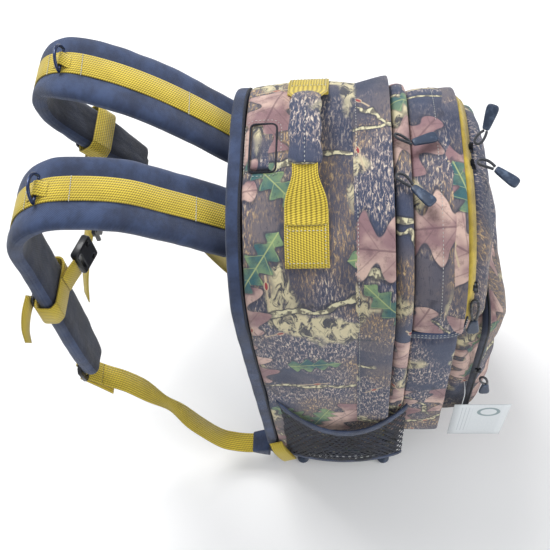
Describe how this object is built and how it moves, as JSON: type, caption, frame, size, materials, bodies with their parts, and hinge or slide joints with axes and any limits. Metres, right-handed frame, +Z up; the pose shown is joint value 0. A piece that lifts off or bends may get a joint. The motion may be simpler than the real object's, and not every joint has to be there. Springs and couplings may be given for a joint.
{
  "type": "hunting backpack",
  "caption": "Hunting day pack with an arched clamshell main compartment, two front compartments, mesh side pockets, padded shoulder straps and a haul handle.",
  "frame": {"origin": "on the underside, in the middle of the flat base that the pack stands on", "axes": "+Z up, +Y towards the wearer's back, where the shoulder straps are, +X to the wearer's right"},
  "size_m": [0.295, 0.4723, 0.5394],
  "materials": {
    "camo_cloth": "printed woven polyester with a woodland pattern",
    "navy_cloth": "plain woven polyester over foam",
    "yellow_webbing": "ribbed woven webbing",
    "navy_mesh": "knitted stretch mesh",
    "lining_cloth": "thin coated lining",
    "black_cord": "braided round cord",
    "zip_tape": "woven zip tape with a nylon coil",
    "navy_plastic": "satin moulded acetal",
    "slider_metal": "dark enamelled zinc",
    "ring_metal": "navy coated steel wire",
    "stiff_sheet": "smooth polyethylene sheet",
    "tag_card": "coated white card, unprinted marks only",
    "clear_plastic": "clear drawn nylon"
  },
  "bodies": {
    "pack": {"main_compartment": "camo_cloth", "base_panel": "navy_cloth", "back_panel": "navy_cloth", "frame_sheet": "stiff_sheet", "hydration_sleeve": "lining_cloth", "main_zip_tape": "zip_tape", "storm_flap": "camo_cloth", "left_mesh_pocket": "navy_mesh", "right_mesh_pocket": "navy_mesh", "hose_port_flap": "camo_cloth", "strap_yoke_webbing": "yellow_webbing", "left_handle_patch": "yellow_webbing", "right_handle_patch": "yellow_webbing", "left_anchor_tab": "navy_cloth", "right_anchor_tab": "navy_cloth", "left_lower_webbing": "yellow_webbing", "right_lower_webbing": "yellow_webbing"},
    "front_lid": {"front_panel": "camo_cloth", "upper_compartment": "camo_cloth", "upper_front_pocket": "camo_cloth", "lower_compartment": "camo_cloth", "lower_front_pocket": "camo_cloth"},
    "haul_handle": {"haul_handle": "yellow_webbing", "handle_grip": "camo_cloth"},
    "left_strap": {"left_shoulder_strap": "navy_cloth", "left_strap_webbing": "yellow_webbing"},
    "right_strap": {"right_shoulder_strap": "navy_cloth", "right_strap_webbing": "yellow_webbing"},
    "left_ring": {"left_d_ring": "ring_metal"},
    "right_ring": {"right_d_ring": "ring_metal"},
    "left_lock": {"left_ladder_lock": "navy_plastic"},
    "right_lock": {"right_ladder_lock": "navy_plastic"},
    "left_sternum": {"left_sternum_loop": "yellow_webbing", "left_sternum_webbing": "yellow_webbing", "sternum_socket": "navy_plastic"},
    "right_sternum": {"right_sternum_loop": "yellow_webbing", "right_sternum_webbing": "yellow_webbing", "sternum_prong": "navy_plastic"},
    "tag": {"hang_tag": "tag_card", "tag_fastener": "clear_plastic"},
    "main_left_pull": {"main_left_slider": "slider_metal", "main_left_cord": "black_cord", "main_left_grip": "navy_plastic"},
    "main_right_pull": {"main_right_slider": "slider_metal", "main_right_cord": "black_cord", "main_right_grip": "navy_plastic"},
    "upper_left_pull": {"upper_left_slider": "slider_metal", "upper_left_cord": "black_cord", "upper_left_grip": "navy_plastic"},
    "upper_right_pull": {"upper_right_slider": "slider_metal", "upper_right_cord": "black_cord", "upper_right_grip": "navy_plastic"},
    "upper_front_pull": {"upper_front_slider": "slider_metal", "upper_front_cord": "black_cord", "upper_front_grip": "navy_plastic"},
    "lower_front_pull": {"lower_front_slider": "slider_metal", "lower_front_cord": "black_cord", "lower_front_grip": "navy_plastic"}
  },
  "joints": [
    {"name": "lid_open", "type": "hinge", "parent": "pack", "child": "front_lid", "pos_m": [0, -0.0576, 0.0606], "axis": [1, 0, 0], "range_deg": [0, 32]},
    {"name": "handle_lean", "type": "hinge", "parent": "pack", "child": "haul_handle", "pos_m": [0, 0.033, 0.4715], "axis": [1, 0, 0], "range_deg": [-14, 14]},
    {"name": "left_strap_lift", "type": "hinge", "parent": "pack", "child": "left_strap", "pos_m": [-0.048, 0.104, 0.438], "axis": [1, 0, 0], "range_deg": [-30, 5], "deforming": ["left_lower_webbing"]},
    {"name": "right_strap_lift", "type": "hinge", "parent": "pack", "child": "right_strap", "pos_m": [0.048, 0.104, 0.451], "axis": [1, 0, 0], "range_deg": [-30, 5], "deforming": ["right_lower_webbing"]},
    {"name": "left_ring_turn", "type": "hinge", "parent": "left_strap", "child": "left_ring", "pos_m": [-0.0737, 0.2486, 0.5244], "axis": [1, 0, 0], "range_deg": [-70, 70]},
    {"name": "right_ring_turn", "type": "hinge", "parent": "right_strap", "child": "right_ring", "pos_m": [0.0712, 0.2521, 0.5212], "axis": [1, 0, 0], "range_deg": [-70, 70]},
    {"name": "left_lock_tilt", "type": "hinge", "parent": "left_strap", "child": "left_lock", "pos_m": [-0.104, 0.28445, 0.26187], "axis": [1, 0, 0], "range_deg": [0, 60]},
    {"name": "right_lock_tilt", "type": "hinge", "parent": "right_strap", "child": "right_lock", "pos_m": [0.102, 0.23748, 0.3361], "axis": [1, 0, 0], "range_deg": [0, 60]},
    {"name": "left_sternum_slide", "type": "slide", "parent": "left_strap", "child": "left_sternum", "axis": [-0.099, -0.024, -0.9948], "range_m": [-0.02, 0.02]},
    {"name": "right_sternum_slide", "type": "slide", "parent": "right_strap", "child": "right_sternum", "axis": [0.1247, -0.502, -0.8558], "range_m": [-0.01, 0.01]},
    {"name": "tag_swing", "type": "hinge", "parent": "front_lid", "child": "tag", "pos_m": [-0.1083, -0.124, 0.2], "axis": [0, 1, 0], "range_deg": [0, 60]},
    {"name": "main_left_zip", "type": "hinge", "parent": "pack", "child": "main_left_pull", "pos_m": [-0.032, -0.038, 0.374], "axis": [0, -1, 0], "range_deg": [0, 85]},
    {"name": "main_right_zip", "type": "hinge", "parent": "pack", "child": "main_right_pull", "pos_m": [0.032, -0.038, 0.374], "axis": [0, 1, 0], "range_deg": [0, 85]},
    {"name": "upper_left_zip", "type": "hinge", "parent": "front_lid", "child": "upper_left_pull", "pos_m": [-0.024, -0.11, 0.366], "axis": [0, -1, 0], "range_deg": [0, 35]},
    {"name": "upper_right_zip", "type": "hinge", "parent": "front_lid", "child": "upper_right_pull", "pos_m": [0.024, -0.11, 0.366], "axis": [0, 1, 0], "range_deg": [0, 80]},
    {"name": "upper_front_zip", "type": "hinge", "parent": "front_lid", "child": "upper_front_pull", "pos_m": [-0.024, -0.11, 0.366], "axis": [0, 1, 0], "range_deg": [-8, 15]},
    {"name": "lower_front_zip", "type": "slide", "parent": "front_lid", "child": "lower_front_pull", "axis": [0, 0, 1], "range_m": [-0.105, 0.075]}
  ]
}
